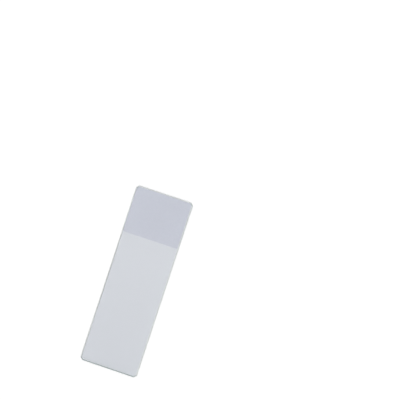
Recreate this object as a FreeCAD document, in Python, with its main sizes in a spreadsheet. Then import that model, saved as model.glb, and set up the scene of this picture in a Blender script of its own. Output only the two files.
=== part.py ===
import FreeCAD, Part
import os
import Sketcher

# A microscope slide: one sheet of glass, three inches by one inch, lying flat.
# Its edges are ground all round, its four corners are clipped, and one end of its top face is frosted.
#
# Millimetres, +Z up. The origin is the middle of the underside, the face that the slide rests on.
# The length runs along Y, with the frosted end at +Y, and the frosted face is the upper one.

doc = FreeCAD.newDocument("microscope_slide")

# Driving dimensions: the name of each one, its value and what it is.
dimensions = [
    ("slide_length", 76.2, "length of the glass, end to end"),
    ("slide_width", 25.4, "width of the glass"),
    ("slide_thickness", 1.1, "thickness of the sheet"),
    ("corner_clip", 1.1, "leg of the 45 degree clip at each corner"),
    ("edge_bevel", 0.35, "leg of the 45 degree bevel ground along every edge"),
    ("frost_length", 20.0, "length of the frosted end"),
    ("frost_depth", 0.02, "depth that the frosting takes off the face"),
]
sizes = doc.addObject("Spreadsheet::Sheet", "sizes")
for row, (name, value, meaning) in enumerate(dimensions, start=1):
    sizes.set(f"A{row}", meaning)
    sizes.set(f"B{row}", str(value))
    sizes.setAlias(f"B{row}", name)
doc.recompute()

slide = doc.addObject("PartDesign::Body", "GlassSlide")
slide.Label = "glass_slide"
slide.Placement = FreeCAD.Placement()


def rectangle_from_end(name, reach):
    """A sketch of a rectangle as wide as the glass, from its +Y end back by the size named reach."""
    sketch = slide.newObject("Sketcher::SketchObject", name)
    planes = {feature.Role: feature for feature in slide.Origin.OriginFeatures}
    sketch.AttachmentSupport = [(planes["XY_Plane"], "")]
    sketch.MapMode = "FlatFace"

    side = sizes.get("slide_width") / 2
    end = sizes.get("slide_length") / 2
    start = end - sizes.get(reach)
    corners = [(-side, start), (side, start), (side, end), (-side, end)]
    points = [FreeCAD.Vector(x, y, 0) for x, y in corners]
    south, east, north, west = sketch.addGeometry(
        [Part.LineSegment(points[i], points[(i + 1) % 4]) for i in range(4)], False
    )
    first, last = 1, 2  # the two ends of a line
    origin, y_axis = -1, -2
    sketch.addConstraint(
        [
            Sketcher.Constraint("Coincident", south, last, east, first),
            Sketcher.Constraint("Coincident", east, last, north, first),
            Sketcher.Constraint("Coincident", north, last, west, first),
            Sketcher.Constraint("Coincident", west, last, south, first),
            Sketcher.Constraint("Horizontal", south),
            Sketcher.Constraint("Vertical", east),
            Sketcher.Constraint("Vertical", west),
            Sketcher.Constraint("Symmetric", north, first, north, last, y_axis),
        ]
    )
    width = sketch.addConstraint(Sketcher.Constraint("DistanceX", south, first, south, last, 2 * side))
    place = sketch.addConstraint(Sketcher.Constraint("DistanceY", origin, first, east, last, end))
    depth = sketch.addConstraint(Sketcher.Constraint("DistanceY", east, first, east, last, end - start))
    sketch.setExpression(f"Constraints[{width}]", "sizes.slide_width")
    sketch.setExpression(f"Constraints[{place}]", "sizes.slide_length / 2")
    sketch.setExpression(f"Constraints[{depth}]", f"sizes.{reach}")
    return sketch


def chamfer_edges(name, base, leg, wanted):
    """An equal-leg chamfer on those edges of the base that are wanted."""
    numbered = enumerate(base.Shape.Edges, start=1)
    chamfer = slide.newObject("PartDesign::Chamfer", name)
    chamfer.Base = (base, [f"Edge{number}" for number, edge in numbered if wanted(edge)])
    chamfer.Size = sizes.get(leg)
    chamfer.setExpression("Size", f"sizes.{leg}")
    doc.recompute()
    return chamfer


def stands_upright(edge):
    return edge.BoundBox.ZLength > sizes.get("slide_thickness") / 2


def lies_flat(edge):
    return not stands_upright(edge)


# The sheet of glass, cut to size.
glass = slide.newObject("PartDesign::Pad", "Glass")
glass.Profile = rectangle_from_end("Outline", "slide_length")
glass.setExpression("Length", "sizes.slide_thickness")
doc.recompute()

# The corners are clipped, then both faces' edges are bevelled, round the clips too.
clips = chamfer_edges("CornerClips", glass, "corner_clip", stands_upright)
bevels = chamfer_edges("GroundEdges", clips, "edge_bevel", lies_flat)

# The frosting is ground a little way into the top face, over the whole width of one end.
frost_area = rectangle_from_end("FrostArea", "frost_length")
frost_area.setExpression(".AttachmentOffset.Base.z", "sizes.slide_thickness")
frosting = slide.newObject("PartDesign::Pocket", "Frosting")
frosting.Profile = frost_area
frosting.setExpression("Length", "sizes.frost_depth")
slide.Tip = frosting
doc.recompute()

for item in doc.Objects:
    if "Invalid" in item.State or "Error" in item.State:
        raise RuntimeError(f"{item.Label} failed: {item.State}")

# Each step takes glass away, so the volume falls from one to the next.
steps = [glass, clips, bevels, frosting]
for before, after in zip(steps, steps[1:]):
    if not 0 < after.Shape.Volume < before.Shape.Volume:
        raise RuntimeError(f"{after.Label} took nothing off {before.Label}")

if slide.Shape.isNull() or not slide.Shape.isValid():
    raise RuntimeError(f"{slide.Label} has no valid shape")

os.makedirs("parts", exist_ok=True)
slide.Shape.exportStep(f"parts/{slide.Label}.step")
box = slide.Shape.BoundBox
print(f"{slide.Label}: {box.XLength:.2f} x {box.YLength:.2f} x {box.ZLength:.2f} mm")
print(f"{slide.Label}: {slide.Shape.Volume:.1f} cubic mm, {len(slide.Shape.Faces)} faces")
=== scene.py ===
import bpy
import bmesh
from math import radians, sin
from mathutils import Matrix, Vector


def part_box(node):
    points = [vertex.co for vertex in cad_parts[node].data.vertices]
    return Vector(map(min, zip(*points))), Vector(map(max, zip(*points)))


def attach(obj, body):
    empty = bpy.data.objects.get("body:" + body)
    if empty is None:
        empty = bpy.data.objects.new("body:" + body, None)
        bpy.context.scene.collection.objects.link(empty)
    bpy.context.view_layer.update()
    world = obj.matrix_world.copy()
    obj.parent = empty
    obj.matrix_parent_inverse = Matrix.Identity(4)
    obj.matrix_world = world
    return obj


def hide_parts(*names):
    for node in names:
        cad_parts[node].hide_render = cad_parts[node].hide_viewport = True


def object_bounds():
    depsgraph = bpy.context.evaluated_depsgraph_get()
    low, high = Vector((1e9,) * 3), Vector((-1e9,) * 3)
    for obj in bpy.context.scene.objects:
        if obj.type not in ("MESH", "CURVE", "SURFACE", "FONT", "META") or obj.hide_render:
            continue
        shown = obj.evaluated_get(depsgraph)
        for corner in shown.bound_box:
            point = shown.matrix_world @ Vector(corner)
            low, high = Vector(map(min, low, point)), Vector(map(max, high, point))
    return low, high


# A glass microscope slide lying on a white table, its frosted face up.
# Metres. The length runs along Y, with the frosted end at +Y.

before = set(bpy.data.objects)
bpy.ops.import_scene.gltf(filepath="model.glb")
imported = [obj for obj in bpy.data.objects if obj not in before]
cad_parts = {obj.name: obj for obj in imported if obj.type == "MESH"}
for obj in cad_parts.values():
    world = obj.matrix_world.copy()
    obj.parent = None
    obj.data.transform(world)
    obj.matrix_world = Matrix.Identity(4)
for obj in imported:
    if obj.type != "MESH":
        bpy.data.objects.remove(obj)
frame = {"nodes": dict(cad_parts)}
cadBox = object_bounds()
mm = 0.001
print("frame loaded:", ", ".join(frame["nodes"]))


def newMaterial(name):
    material = bpy.data.materials.new(name)
    material.use_nodes = True
    return material, material.node_tree, material.node_tree.nodes["Principled BSDF"]


def add(tree, kind, sockets=None, **settings):
    # a new node with its settings and the values of its sockets
    node = tree.nodes.new(kind)
    for name, value in settings.items():
        setattr(node, name, value)
    for name, value in (sockets or {}).items():
        node.inputs[name].default_value = value
    return node


def noise(tree, grain, detail=2.0, roughness=0.5):
    # noise on the slide's own coordinates, with its grain along x, y and z in metres
    place = add(tree, "ShaderNodeTexCoord")
    scaled = add(tree, "ShaderNodeMapping", {"Scale": [1 / size for size in grain]})
    texture = add(tree, "ShaderNodeTexNoise", {"Scale": 1, "Detail": detail, "Roughness": roughness})
    tree.links.new(place.outputs["Object"], scaled.inputs["Vector"])
    tree.links.new(scaled.outputs["Vector"], texture.inputs["Vector"])
    return texture.outputs["Fac"]


noiseReach = (0.3, 0.7)  # most of what the noise gives lies between these


def between(tree, value, low, high):
    # spreads noise over low to high
    mapped = add(tree, "ShaderNodeMapRange", {"To Min": low, "To Max": high})
    mapped.inputs["From Min"].default_value, mapped.inputs["From Max"].default_value = noiseReach
    tree.links.new(value, mapped.inputs["Value"])
    return mapped.outputs["Result"]


def tinted(tree, value, low, high):
    # spreads noise over two colours
    ramp = add(tree, "ShaderNodeValToRGB")
    for element, position, color in zip(ramp.color_ramp.elements, noiseReach, (low, high)):
        element.position = position
        element.color = color
    tree.links.new(value, ramp.inputs["Fac"])
    return ramp.outputs["Color"]


def bump(tree, shader, height, depth):
    raised = add(tree, "ShaderNodeBump", {"Strength": 1, "Distance": depth})
    tree.links.new(height, raised.inputs["Height"])
    tree.links.new(raised.outputs["Normal"], shader.inputs["Normal"])


# The slide: sizes of what is ground into the sheet. Its outside comes from the CAD box.
slide = {
    "clip": 1.1 * mm,  # leg of the clip at each corner
    "bevel": 0.35 * mm,  # leg of the bevel along every edge
    "frostLength": 20 * mm,
    "frostDepth": 0.02 * mm,
    "cutReach": 0.0001 * mm,  # what lies this near to a cut counts as on it
}
finishes = ("clear", "frosted", "bevel", "endBevel", "side", "end", "corner")
faceOrder = Vector((1, 3, 40))  # the faces are counted along this direction, where no two are level
nearlyNone = 0.1  # how much of a normal along an axis still counts as none of it
nearlyAll = 0.95  # and how much already counts as all of it


def finishOf(face, frostFloor):
    # which of the finishes a face of the slide has
    upright = abs(face.normal.z) < nearlyNone
    acrossEnd = abs(face.normal.x) < nearlyNone
    alongSide = abs(face.normal.y) < nearlyNone
    if abs(face.normal.z) > nearlyAll:
        onFrost = face.normal.z > 0 and face.calc_center_median().z < frostFloor + slide["frostDepth"] / 2
        return "frosted" if onFrost else "clear"
    # the corner facets get their own darker colour, which is painted shade
    if not acrossEnd and not alongSide:
        return "corner"
    if upright:
        return "end" if acrossEnd else "side"
    # the clear end's top bevel gets painted shade, a dark line; the frosted end's keeps the pale colour
    return "endBevel" if acrossEnd and face.normal.y < 0 and face.normal.z > 0 else "bevel"


def makeSlide():
    low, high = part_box("glass_slide")
    size = high - low
    bm = bmesh.new()
    bmesh.ops.create_cube(bm, size=1)
    bmesh.ops.scale(bm, vec=size, verts=bm.verts)
    bmesh.ops.translate(bm, vec=(low + high) / 2, verts=bm.verts)

    def bevel(edges, leg):
        bmesh.ops.bevel(
            bm, geom=edges, offset=leg, offset_type="OFFSET", affect="EDGES",
            segments=1, profile=0.5, material=-1, clamp_overlap=True,
        )

    def isUpright(edge):
        return abs(edge.verts[0].co.z - edge.verts[1].co.z) > size.z / 2

    bevel([edge for edge in bm.edges if isUpright(edge)], slide["clip"])
    bevel([edge for edge in bm.edges if not isUpright(edge)], slide["bevel"])

    # two cuts over the top face and its bevels, a frost depth apart, then the end beyond them goes down
    frostStart = high.y - slide["frostLength"]
    for cut in (frostStart, frostStart + slide["frostDepth"]):
        upper = [face for face in bm.faces if face.normal.z > nearlyNone]
        edges = dict.fromkeys(edge for face in upper for edge in face.edges)
        verts = dict.fromkeys(vert for face in upper for vert in face.verts)
        bmesh.ops.bisect_plane(
            bm, geom=[*upper, *edges, *verts], dist=slide["cutReach"],
            plane_co=(0, cut, 0), plane_no=(0, 1, 0),
        )
    sunk = [
        vert for vert in bm.verts
        if vert.co.z > high.z - slide["bevel"] / 2 and vert.co.y > frostStart + slide["frostDepth"] / 2
    ]
    bmesh.ops.translate(bm, vec=(0, 0, -slide["frostDepth"]), verts=sunk)

    bmesh.ops.recalc_face_normals(bm, faces=bm.faces)
    # the bevels leave the faces in an order that changes from run to run, so they are put in one order
    bm.faces.sort(key=lambda face: face.calc_center_median().dot(faceOrder))
    for face in bm.faces:
        face.smooth = False
        face.material_index = finishes.index(finishOf(face, high.z - slide["frostDepth"]))
    mesh = bpy.data.meshes.new("slide")
    bm.to_mesh(mesh)
    bm.free()
    piece = bpy.data.objects.new("slide", mesh)
    bpy.context.collection.objects.link(piece)
    return piece


# Polished glass, faintly blue-grey. It was drawn along Y, which left it a very little wavy.
clearGlass = {
    "color": (0.884, 0.906, 0.945, 1),
    "ior": 1.52,
    "waveGrain": (9 * mm, 40 * mm, 9 * mm),
    "waveDepth": 0.01 * mm,
    "hazeGrain": (6 * mm, 8 * mm, 6 * mm),
    "haze": (0.0, 0.04),
}


def makeClearGlass():
    material, tree, shader = newMaterial("clearGlass")
    shader.inputs["Base Color"].default_value = clearGlass["color"]
    shader.inputs["IOR"].default_value = clearGlass["ior"]
    shader.inputs["Transmission Weight"].default_value = 1.0
    haze = noise(tree, clearGlass["hazeGrain"], detail=4, roughness=0.6)
    tree.links.new(between(tree, haze, *clearGlass["haze"]), shader.inputs["Roughness"])
    bump(tree, shader, noise(tree, clearGlass["waveGrain"], detail=1), clearGlass["waveDepth"])
    return material


# The frosted end: part of the light scatters back, and part goes through blurred.
frosted = {
    "colors": ((0.695, 0.718, 0.805, 1), (0.745, 0.766, 0.848, 1)),
    "patchGrain": (0.7 * mm, 0.7 * mm, 0.7 * mm),
    "through": 0.6,
    "grain": (0.18 * mm, 0.18 * mm, 0.18 * mm),
    "grainDepth": 0.08 * mm,
    "roughness": (0.5, 0.7),
}


def makeFrostedGlass():
    material, tree, shader = newMaterial("frostedGlass")
    shader.inputs["IOR"].default_value = clearGlass["ior"]
    shader.inputs["Transmission Weight"].default_value = frosted["through"]
    patches = noise(tree, frosted["patchGrain"], detail=6, roughness=0.7)
    tree.links.new(tinted(tree, patches, *frosted["colors"]), shader.inputs["Base Color"])
    grain = noise(tree, frosted["grain"], detail=3, roughness=0.6)
    tree.links.new(between(tree, grain, *frosted["roughness"]), shader.inputs["Roughness"])
    bump(tree, shader, grain, frosted["grainDepth"])
    return material


# The edges, ground on a wheel that ran along them. Glass looks darker and greener the further one sees
# into it, so the ends, with the whole length behind them, are deeper than the long sides and the corners.
# The clear end's top bevel is darker still, and the corner facets darker than the bevels: both painted
# shade.
ground = {
    "colors": {
        "bevel": (0.89, 0.915, 0.9, 1),
        # the clear end's top bevel: painted shade, a dark line along that end, over the deeper green of the
        # glass
        "endBevel": (0.31, 0.39, 0.38, 1),
        "side": (0.55, 0.72, 0.64, 1),
        "end": (0.26, 0.37, 0.35, 1),
        # the clipped corners: painted shade, darker than the bevels so that the lamps don't light them
        # bright
        "corner": (0.58, 0.65, 0.63, 1),
    },
    "through": 0.6,
    "lineGrain": (2.5 * mm, 2.5 * mm, 0.05 * mm),
    "lineDepth": 0.008 * mm,
    "roughness": (0.4, 0.6),
}


def makeGroundEdge(name, color):
    material, tree, shader = newMaterial(name)
    shader.inputs["Base Color"].default_value = color
    shader.inputs["IOR"].default_value = clearGlass["ior"]
    shader.inputs["Transmission Weight"].default_value = ground["through"]
    lines = noise(tree, ground["lineGrain"], detail=3, roughness=0.6)
    tree.links.new(between(tree, lines, *ground["roughness"]), shader.inputs["Roughness"])
    bump(tree, shader, lines, ground["lineDepth"])
    return material


materials = {"clear": makeClearGlass(), "frosted": makeFrostedGlass()}
for part, color in ground["colors"].items():
    materials[part] = makeGroundEdge("ground" + part[0].upper() + part[1:], color)
slidePiece = makeSlide()
for finish in finishes:
    slidePiece.data.materials.append(materials[finish])
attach(slidePiece, "root")
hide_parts("glass_slide")
print("slide made:", len(slidePiece.data.polygons), "faces")

# A white table top, which shows as plain white round the slide and keeps its shadow.
table = {
    "width": 6.0,
    "gap": 0.03 * mm,  # under the slide
    "color": (0.8, 0.8, 0.8, 1),
    "lift": (0.27, 0.56),  # near the slide, and far away, where the lamps give less
    "liftReach": (0.15, 0.9),  # where near ends and far begins
}


def seenDirectly(tree):
    # 1 for rays that show a thing, and 0 for rays that only light one
    path = add(tree, "ShaderNodeLightPath")
    first = add(tree, "ShaderNodeMath", operation="MAXIMUM")
    last = add(tree, "ShaderNodeMath", operation="MAXIMUM")
    tree.links.new(path.outputs["Is Camera Ray"], first.inputs[0])
    tree.links.new(path.outputs["Is Glossy Ray"], first.inputs[1])
    tree.links.new(first.outputs[0], last.inputs[0])
    tree.links.new(path.outputs["Is Transmission Ray"], last.inputs[1])
    return last.outputs[0]


def makeTable():
    bm = bmesh.new()
    bmesh.ops.create_grid(bm, x_segments=1, y_segments=1, size=table["width"] / 2)
    bmesh.ops.translate(bm, vec=(0, 0, cadBox[0].z - table["gap"]), verts=bm.verts)
    mesh = bpy.data.meshes.new("tableTop")
    bm.to_mesh(mesh)
    bm.free()
    top = bpy.data.objects.new("tableTop", mesh)
    bpy.context.collection.objects.link(top)

    material, tree, shader = newMaterial("whiteTable")
    shader.inputs["Base Color"].default_value = table["color"]
    shader.inputs["Roughness"].default_value = 1.0
    shader.inputs["Specular IOR Level"].default_value = 0.0
    shader.inputs["Emission Color"].default_value = (1, 1, 1, 1)
    place = add(tree, "ShaderNodeTexCoord")
    away = add(tree, "ShaderNodeVectorMath", operation="LENGTH")
    near, far = table["liftReach"]
    lift = add(tree, "ShaderNodeMapRange", {"From Min": near, "From Max": far})
    lift.inputs["To Min"].default_value, lift.inputs["To Max"].default_value = table["lift"]
    shown = add(tree, "ShaderNodeMath", operation="MULTIPLY")
    tree.links.new(place.outputs["Object"], away.inputs[0])
    tree.links.new(away.outputs["Value"], lift.inputs["Value"])
    tree.links.new(lift.outputs["Result"], shown.inputs[0])
    tree.links.new(seenDirectly(tree), shown.inputs[1])
    tree.links.new(shown.outputs[0], shader.inputs["Emission Strength"])

    # the table is left out from below, so that the underside of the slide can be seen
    below = add(tree, "ShaderNodeNewGeometry")
    nothing = add(tree, "ShaderNodeBsdfTransparent")
    either = add(tree, "ShaderNodeMixShader")
    tree.links.new(below.outputs["Backfacing"], either.inputs["Fac"])
    tree.links.new(shader.outputs[0], either.inputs[1])
    tree.links.new(nothing.outputs[0], either.inputs[2])
    tree.links.new(either.outputs[0], tree.nodes["Material Output"].inputs["Surface"])
    mesh.materials.append(material)
    return top


makeTable()
print("table made")

# Two soft boxes and a pale room light the slide. The glass mirrors the room and one narrow beam, the
# sheen, which comes from where the camera sees it mirrored and fades from the frosted end to the clear one.
lamps = {
    "key": {
        "at": (0.55, -0.34, 1.1), "aim": (0, 0, 0), "size": 1.0,
        "power": 5.7, "spread": 180, "mirrored": False,
    },
    "fill": {
        "at": (-0.38, 0.45, 1.1), "aim": (0, 0, 0), "size": 1.0,
        "power": 3.0, "spread": 180, "mirrored": False,
    },
    "sheen": {
        "at": (-0.244, 0.033, 0.93), "aim": (0, 38 * mm, 0), "size": 0.6,
        "power": 0.0011, "spread": 5, "mirrored": True,
    },
}
room = 0.62  # how bright the room lights things


def makeLamps():
    for name, lamp in lamps.items():
        data = bpy.data.lights.new(name, "AREA")
        data.shape = "SQUARE"
        data.size = lamp["size"]
        data.energy = lamp["power"]
        data.spread = radians(lamp["spread"])
        ob = bpy.data.objects.new(name, data)
        bpy.context.collection.objects.link(ob)
        ob.location = lamp["at"]
        way = Vector(lamp["aim"]) - Vector(lamp["at"])
        ob.rotation_euler = way.to_track_quat("-Z", "Y").to_euler()
        ob.visible_glossy = lamp["mirrored"]
        ob.visible_transmission = False


def makeRoom():
    world = bpy.data.worlds.new("room")
    bpy.context.scene.world = world
    world.use_nodes = True
    tree = world.node_tree
    background = tree.nodes["Background"]
    background.inputs["Color"].default_value = (1, 1, 1, 1)
    level = add(tree, "ShaderNodeMapRange", {"To Min": room, "To Max": 1.0})
    tree.links.new(seenDirectly(tree), level.inputs["Value"])
    tree.links.new(level.outputs["Result"], background.inputs["Strength"])


makeLamps()
makeRoom()
print("lights made")

# The camera looks down on the slide from far off, leaning towards its right side and a little towards
# its frosted end.
view = {
    "distance": 2.5,
    "leanRight": 14.7,  # degrees from straight above
    "leanToFrost": 1.2,
    "turn": 18.26,  # degrees, the slide's turn in the picture
    "lens": 542,
    "aim": (14.73 * mm, 40.34 * mm, 0),
}


def makeCamera():
    data = bpy.data.cameras.new("camera")
    data.lens = view["lens"]
    ob = bpy.data.objects.new("camera", data)
    bpy.context.collection.objects.link(ob)
    x = sin(radians(view["leanRight"]))
    y = sin(radians(view["leanToFrost"]))
    away = Vector((x, y, (1 - x * x - y * y) ** 0.5))
    spot = (cadBox[0] + cadBox[1]) / 2 + away * view["distance"]
    look = (Vector(view["aim"]) - spot).normalized()
    right = look.cross(Vector((0, 1, 0))).normalized()
    up = right.cross(look)
    upright = Matrix((right, up, -look)).transposed().to_4x4()
    ob.matrix_world = Matrix.Translation(spot) @ upright @ Matrix.Rotation(radians(view["turn"]), 4, "Z")
    bpy.context.scene.camera = ob


makeCamera()
bpy.context.scene.view_settings.view_transform = "Standard"
print("camera made")
